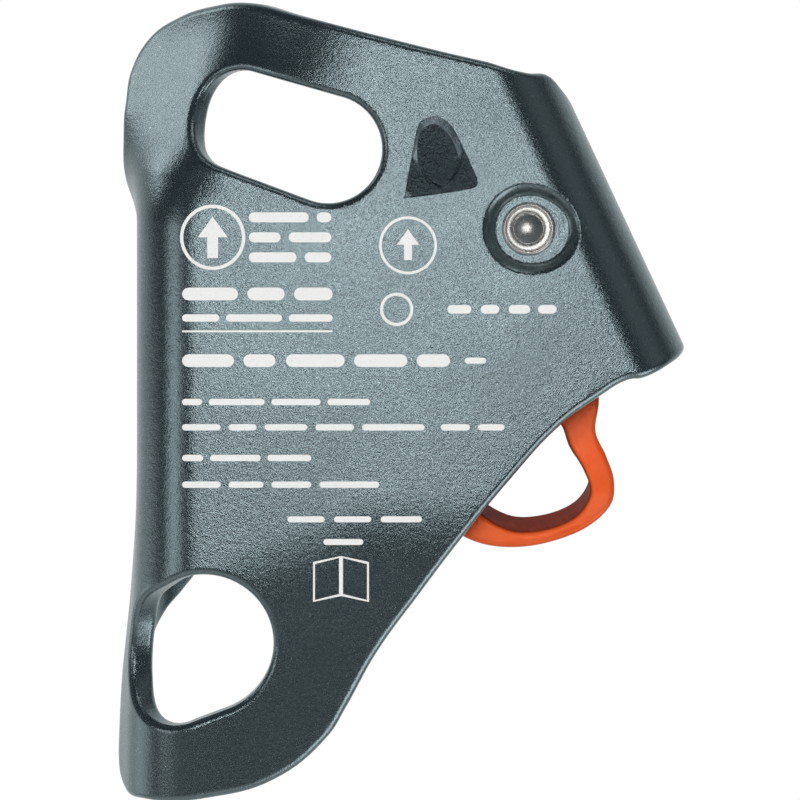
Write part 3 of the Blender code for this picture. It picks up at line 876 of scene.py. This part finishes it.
def print_loops():
    loops = []
    for middle, height, spans in PRINT_ROWS:
        loops += [bar(left, right, middle, height) for left, right in spans]
    for center, outer, inner in PRINT_RINGS:
        loops += [circle(center, outer), circle(center, inner)]
    for center, size in PRINT_ARROWS:
        loops.append(arrow(center, size))
    (x, z), width, height = PRINT_BOOKLET
    line = BOOKLET_LINE
    for side in (-1, 1):
        outer = sorted((x, x + side * width))
        inner = sorted((x + side * line, x + side * (width - line)))
        sag = -BOOKLET_SAG * side
        lift = BOOKLET_SAG if side > 0 else 0
        loops.append(page(*outer, z + lift, z + height + lift, sag))
        loops.append(page(*inner, z + lift + line, z + height + lift - line, sag))
    return loops


def make_print(look):
    mesh = sheet_mesh("print", [], print_loops(), INK_Y, 0.0, 1, 0)
    piece("back_print", mesh, look, "frame")


# Materials


class Nodes:
    """A short way to build a material's node tree."""

    def __init__(self, name):
        self.material = bpy.data.materials.new(name)
        self.material.use_nodes = True
        self.tree = self.material.node_tree
        self.shader = self.tree.nodes["Principled BSDF"]
        self.place = self.add("ShaderNodeTexCoord").outputs["Object"]

    def add(self, kind, inputs=None, **settings):
        node = self.tree.nodes.new(kind)
        for key, value in settings.items():
            setattr(node, key, value)
        for key, value in (inputs or {}).items():
            self.feed(node.inputs[key], value)
        return node

    def feed(self, socket, value):
        if isinstance(value, bpy.types.NodeSocket):
            self.tree.links.new(value, socket)
        else:
            socket.default_value = value

    def noise(self, scale, detail=2.0, rough=0.5, place=None):
        place = place or self.place
        inputs = {"Vector": place, "Scale": scale, "Detail": detail, "Roughness": rough}
        return self.add("ShaderNodeTexNoise", inputs).outputs["Fac"]

    def stretched(self, scales):
        """Object coordinates, stretched so that a noise turns into lines."""
        inputs = {"Vector": self.place, "Scale": scales}
        return self.add("ShaderNodeMapping", inputs).outputs["Vector"]

    def remap(self, value, low, high, to_low, to_high):
        inputs = {0: value, 1: low, 2: high, 3: to_low, 4: to_high}
        return self.add("ShaderNodeMapRange", inputs).outputs[0]

    def mix_color(self, share, first, second):
        node = self.add("ShaderNodeMix", data_type="RGBA")
        self.feed(node.inputs[0], share)
        self.feed(node.inputs[6], first)
        self.feed(node.inputs[7], second)
        return node.outputs[2]

    def math(self, operation, first, second):
        return self.add("ShaderNodeMath", {0: first, 1: second}, operation=operation).outputs[0]

    def bump(self, height, strength, distance):
        inputs = {"Height": height, "Strength": strength, "Distance": distance}
        node = self.add("ShaderNodeBump", inputs)
        self.tree.links.new(node.outputs["Normal"], self.shader.inputs["Normal"])

    def radius_from(self, center):
        """Distance from an axis along Y through a centre in millimetres."""
        split = self.add("ShaderNodeSeparateXYZ", {0: self.place})
        across = self.math("SUBTRACT", split.outputs["X"], center[0] * MM)
        up = self.math("SUBTRACT", split.outputs["Z"], center[1] * MM)
        square = self.math("ADD", self.math("POWER", across, 2.0), self.math("POWER", up, 2.0))
        return self.math("SQRT", square, 0.0)

    def window_shade_masks(self, center, radius):
        """Where the back is sunk near an axis along Y, and where it is level: masks for painted shade
        on the sunk level faces and a painted highlight on the sunk sloping ones.
        """
        fade, (shallow, deep) = 0.3, (0.25, 0.4)
        near = self.remap(self.radius_from(center), radius * MM, (radius - fade) * MM, 0.0, 1.0)
        depth = self.add("ShaderNodeSeparateXYZ", {0: self.place}).outputs["Y"]
        sunk = self.remap(depth, shallow * MM, deep * MM, 0.0, 1.0)
        normal = self.add("ShaderNodeTexCoord").outputs["Normal"]
        facing = self.add("ShaderNodeSeparateXYZ", {0: normal}).outputs["Y"]
        level = self.remap(self.math("ABSOLUTE", facing, 0.0), 0.85, 0.93, 0.0, 1.0)
        return self.math("MULTIPLY", near, sunk), level

    def facing(self, center):
        """How squarely the surface looks at an axis along Y through a centre in millimetres."""
        middle = (center[0] * MM, 0, center[1] * MM)
        inwards = self.add("ShaderNodeVectorMath", {0: middle, 1: self.place}, operation="SUBTRACT")
        flat = self.add("ShaderNodeVectorMath", {0: inwards.outputs[0], 1: (1, 0, 1)})
        flat.operation = "MULTIPLY"
        unit = self.add("ShaderNodeVectorMath", {0: flat.outputs[0]}, operation="NORMALIZE")
        normal = self.add("ShaderNodeTexCoord").outputs["Normal"]
        inputs = {0: unit.outputs[0], 1: normal}
        return self.add("ShaderNodeVectorMath", inputs, operation="DOT_PRODUCT").outputs["Value"]

    def set(self, **values):
        for key, value in values.items():
            self.feed(self.shader.inputs[key.replace("_", " ")], value)


def rgba(red, green, blue):
    return (red, green, blue, 1.0)


def anodised_frame():
    """Blasted and anodised aluminium: satin, with a fine glittering grain and painted glints, and
    painted shade and a painted highlight in the sunk window round the stop.
    """
    look = Nodes("anodised_teal")
    grain = look.noise(4200.0, 2.0, 0.6)
    coarse = look.noise(1500.0, 1.0)
    cloud = look.noise(60.0, 3.0)
    shade = look.remap(grain, 0.3, 0.7, 0.0, 1.0)
    color = look.mix_color(shade, rgba(0.245, 0.315, 0.335), rgba(0.335, 0.420, 0.440))
    # Painted glints: sparse specks of lighter colour
    painted_glint = look.remap(look.noise(3300.0, 0.0), 0.74, 0.84, 0.0, 1.0)
    color = look.mix_color(painted_glint, color, rgba(0.50, 0.60, 0.62))
    # Painted shade and highlight: level faces sunk in the window round the stop get a near-black
    # colour, its sloping faces a near-white one
    painted_recess_mask, level = look.window_shade_masks(STOP_MIDDLE, STOP_REACH)
    recess_shade_and_highlight = look.mix_color(level, rgba(0.90, 0.95, 0.97), rgba(0.075, 0.100, 0.112))
    color = look.mix_color(painted_recess_mask, color, recess_shade_and_highlight)
    rough = look.remap(grain, 0.3, 0.7, 0.20, 0.28)
    rough = look.math("ADD", rough, look.remap(cloud, 0.3, 0.7, -0.02, 0.03))
    look.set(Base_Color=color, Metallic=1.0, Roughness=rough)
    height = look.math("ADD", grain, look.math("MULTIPLY", coarse, 0.7))
    look.bump(height, 0.32, 0.00012)
    return look.material


def anodised_orange():
    """Orange anodised aluminium; the milled wall of the hole has painted shade with real milling
    streaks, and is rougher.
    """
    look = Nodes("anodised_orange")
    grain = look.noise(4500.0, 2.0, 0.6)
    cloud = look.noise(160.0, 3.0)
    lines_along = look.noise(900.0, 1.0, 0.5, look.stretched((1.0, 0.08, 1.0)))
    shade = look.remap(cloud, 0.3, 0.7, 0.0, 1.0)
    color = look.mix_color(shade, rgba(0.95, 0.115, 0.014), rgba(1.0, 0.16, 0.042))
    # Painted shade on the milled wall of the hole: a near-black red, streaked with the milling lines
    # it really has
    milled_and_shaded = look.remap(look.facing(TRIGGER_MIDDLE), 0.45, 0.8, 0.0, 1.0)
    streaks = look.noise(1300.0, 1.0, 0.5, look.stretched((1.0, 0.02, 1.0)))
    dark = look.mix_color(streaks, rgba(0.16, 0.011, 0.0015), rgba(0.42, 0.045, 0.006))
    color = look.mix_color(milled_and_shaded, color, dark)
    rough = look.remap(grain, 0.3, 0.7, 0.32, 0.42)
    rough = look.math("ADD", rough, look.math("MULTIPLY", milled_and_shaded, 0.25))
    look.set(Base_Color=color, Metallic=0.3, Roughness=rough)
    height = look.math("ADD", grain, look.math("MULTIPLY", lines_along, 0.8))
    look.bump(height, 0.25, 0.0001)
    return look.material


def forged_chrome():
    """Satin chrome over a forged surface, in patches of darker and lighter grey."""
    look = Nodes("forged_chrome")
    skin = look.noise(700.0, 4.0, 0.6)
    cloud = look.noise(90.0, 3.0)
    shade = look.remap(cloud, 0.3, 0.7, 0.0, 1.0)
    color = look.mix_color(shade, rgba(0.52, 0.53, 0.55), rgba(0.64, 0.65, 0.67))
    rough = look.remap(skin, 0.3, 0.7, 0.20, 0.34)
    look.set(Base_Color=color, Metallic=1.0, Roughness=rough)
    look.bump(skin, 0.25, 0.00025)
    return look.material


def turned_steel():
    """Turned stainless steel: its highlights are drawn out by fine rings about the rivet's axis."""
    look = Nodes("turned_steel")
    wobble = look.noise(2500.0, 1.0)
    rough = look.remap(wobble, 0.3, 0.7, 0.26, 0.30)
    stain = look.remap(look.noise(600.0, 2.0), 0.35, 0.7, 0.0, 1.0)
    color = look.mix_color(stain, rgba(0.88, 0.86, 0.82), rgba(0.82, 0.80, 0.76))
    look.set(Base_Color=color, Metallic=1.0, Roughness=rough, Anisotropic=0.75)
    tangent = look.add("ShaderNodeTangent", direction_type="RADIAL", axis="Y")
    look.feed(look.shader.inputs["Tangent"], tangent.outputs["Tangent"])
    return look.material


def drawn_steel():
    """Drawn spring wire and plain washers: grey, with faint lines."""
    look = Nodes("drawn_steel")
    lines_along = look.noise(1500.0, 2.0, 0.5, look.stretched((1.0, 0.2, 1.0)))
    color = look.mix_color(lines_along, rgba(0.40, 0.41, 0.43), rgba(0.58, 0.59, 0.60))
    rough = look.remap(lines_along, 0.3, 0.7, 0.22, 0.36)
    look.set(Base_Color=color, Metallic=1.0, Roughness=rough)
    look.bump(lines_along, 0.15, 0.00005)
    return look.material


def sintered_bronze():
    """Porous bearing bronze."""
    look = Nodes("sintered_bronze")
    pores = look.noise(3000.0, 2.0)
    color = look.mix_color(pores, rgba(0.42, 0.27, 0.12), rgba(0.62, 0.44, 0.22))
    look.set(Base_Color=color, Metallic=1.0, Roughness=look.remap(pores, 0.3, 0.7, 0.35, 0.5))
    look.bump(pores, 0.3, 0.00008)
    return look.material


def pad_print():
    """White ink, slightly thin where the blasted surface lets it through."""
    look = Nodes("pad_print")
    thin = look.remap(look.noise(3500.0, 2.0), 0.62, 0.75, 0.0, 1.0)
    color = look.mix_color(thin, rgba(0.88, 0.88, 0.86), rgba(0.62, 0.66, 0.66))
    look.set(Base_Color=color, Roughness=0.55)
    look.bump(look.noise(4000.0, 2.0), 0.15, 0.00005)
    return look.material


def make_pieces():
    steel = drawn_steel()
    make_frame(anodised_frame())
    make_cam(forged_chrome())
    make_rivet(turned_steel())
    make_axle_pieces(steel, sintered_bronze())
    make_trigger(anodised_orange())
    make_trigger_pin(steel)
    make_print(pad_print())


# Camera, world, floor and lights


def add_camera():
    data = bpy.data.cameras.new("camera")
    data.lens = CAMERA_LENS
    data.sensor_width = 36
    data.clip_end = 10
    camera = bpy.data.objects.new("camera", data)
    camera.location = CAMERA_PLACE
    camera.rotation_euler = (math.pi / 2, 0, 0)
    bpy.context.scene.collection.objects.link(camera)
    bpy.context.scene.camera = camera


def area_light(name, place, target, size, power):
    """A rectangular light at a place, turned to a target, which the camera doesn't see."""
    data = bpy.data.lights.new(name, "AREA")
    data.shape = "RECTANGLE"
    data.size, data.size_y = size
    data.energy = power
    made = bpy.data.objects.new(name, data)
    made.location = place
    direction = Vector(target) - Vector(place)
    made.rotation_euler = direction.to_track_quat("-Z", "Y").to_euler()
    made.visible_camera = False
    bpy.context.scene.collection.objects.link(made)
    return made


def add_world():
    """White where the camera looks past the object, and a studio's greys in its reflections."""
    world = bpy.data.worlds.new("studio")
    world.use_nodes = True
    tree = world.node_tree
    add, link = tree.nodes.new, tree.links.new
    split = add("ShaderNodeSeparateXYZ")
    link(add("ShaderNodeTexCoord").outputs["Generated"], split.inputs[0])
    below = add("ShaderNodeMapRange")
    for index, value in enumerate((-0.2, -0.8, 0.0, 0.45), start=1):
        below.inputs[index].default_value = value
    link(split.outputs["Z"], below.inputs[0])
    bright = add("ShaderNodeMath")
    bright.operation = "MAXIMUM"
    link(split.outputs["Y"], bright.inputs[0])
    link(below.outputs[0], bright.inputs[1])
    ramp = add("ShaderNodeValToRGB")
    link(bright.outputs[0], ramp.inputs[0])
    dark_end, light_end = ramp.color_ramp.elements
    dark_end.position, dark_end.color = 0.02, rgba(0.05, 0.06, 0.068)
    light_end.position, light_end.color = 0.95, rgba(0.75, 0.75, 0.75)
    mix = add("ShaderNodeMix")
    mix.data_type = "RGBA"
    link(add("ShaderNodeLightPath").outputs["Is Camera Ray"], mix.inputs[0])
    link(ramp.outputs[0], mix.inputs[6])
    mix.inputs[7].default_value = rgba(1, 1, 1)
    link(mix.outputs[2], tree.nodes["Background"].inputs[0])
    bpy.context.scene.world = world


def add_floor():
    bm = bmesh.new()
    bmesh.ops.create_grid(bm, x_segments=1, y_segments=1, size=0.6)
    mesh = bpy.data.meshes.new("floor")
    bm.to_mesh(mesh)
    bm.free()
    look = Nodes("floor")
    look.set(Base_Color=rgba(0.9, 0.9, 0.9), Roughness=0.9)
    mesh.materials.append(look.material)
    floor = bpy.data.objects.new("floor", mesh)
    floor.location = (0, -0.35, -0.16)
    floor.visible_glossy = False
    bpy.context.scene.collection.objects.link(floor)


def add_lights():
    area_light("front", (0.0, -0.5, 0.044), (0.0, 0, 0.02), (0.12, 0.1), 0.145)
    area_light("left_fill", (-0.42, -0.42, -0.04), (-0.03, 0, 0.0), (0.24, 0.24), 0.16)
    area_light("upper_left", (-0.52, 0.08, 0.34), (-0.02, 0, 0.05), (0.2, 0.2), 0.18)
    area_light("left_low", (-0.5, 0.04, -0.14), (-0.03, 0, -0.03), (0.3, 0.24), 0.1)
    area_light("top", (0.2, -0.3, 0.6), (0, 0, 0.05), (0.3, 0.2), 0.16)
    area_light("right_fill", (0.4, -0.26, 0.18), (0.04, 0, 0.02), (0.35, 0.35), 0.036)
    area_light("lower_right", (0.33, -0.25, -0.34), (0.01, 0, -0.03), (0.3, 0.3), 0.36)
    # Lights the print and the orange, but isn't mirrored in the metal
    ink = area_light("ink", (0.0, -0.9, 0.3), (0, 0, 0), (0.5, 0.5), 6)
    ink.visible_glossy = False


add_camera()
make_pieces()
add_world()
add_floor()
add_lights()
bpy.context.scene.view_settings.view_transform = "Standard"
